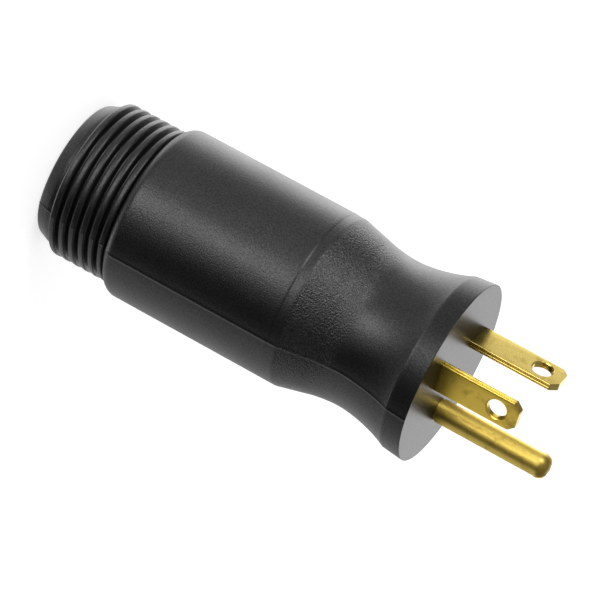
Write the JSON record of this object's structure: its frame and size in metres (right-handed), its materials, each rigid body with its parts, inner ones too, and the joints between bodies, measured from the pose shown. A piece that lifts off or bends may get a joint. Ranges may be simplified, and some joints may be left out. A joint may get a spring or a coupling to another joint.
{
  "type": "power plug",
  "caption": "Straight moulded power adapter plug with folded brass blades and a round earth pin in front, a waisted finger grip and a ridged collar round a locking receptacle behind.",
  "frame": {"origin": "centre of the rear rim, on the surface that the plug stands on", "axes": "+Z along the plug's axis towards the prongs, +X from the upright blade to the flat blade, +Y away from the earth pin"},
  "size_m": [0.0364, 0.0364, 0.1049],
  "materials": {
    "housing": "satin moulded",
    "bridge": "moulded",
    "prongs": "rolled",
    "strands": "drawn copper",
    "line_sleeve": "extruded",
    "neutral_sleeve": "extruded",
    "earth_sleeve": "extruded",
    "receptacle": "moulded",
    "contacts": "stamped"
  },
  "bodies": {
    "root": {"moulded_body": "housing", "blade_bridge": "bridge", "line_blade": "prongs", "neutral_blade": "prongs", "earth_pin": "prongs", "line_strand": "strands", "neutral_strand": "strands", "earth_strand": "strands", "line_insulation": "line_sleeve", "neutral_insulation": "neutral_sleeve", "earth_insulation": "earth_sleeve", "receptacle_face": "receptacle", "contact_carrier": "receptacle", "line_contact": "contacts", "neutral_contact": "contacts", "earth_contact": "contacts"}
  },
  "joints": []
}
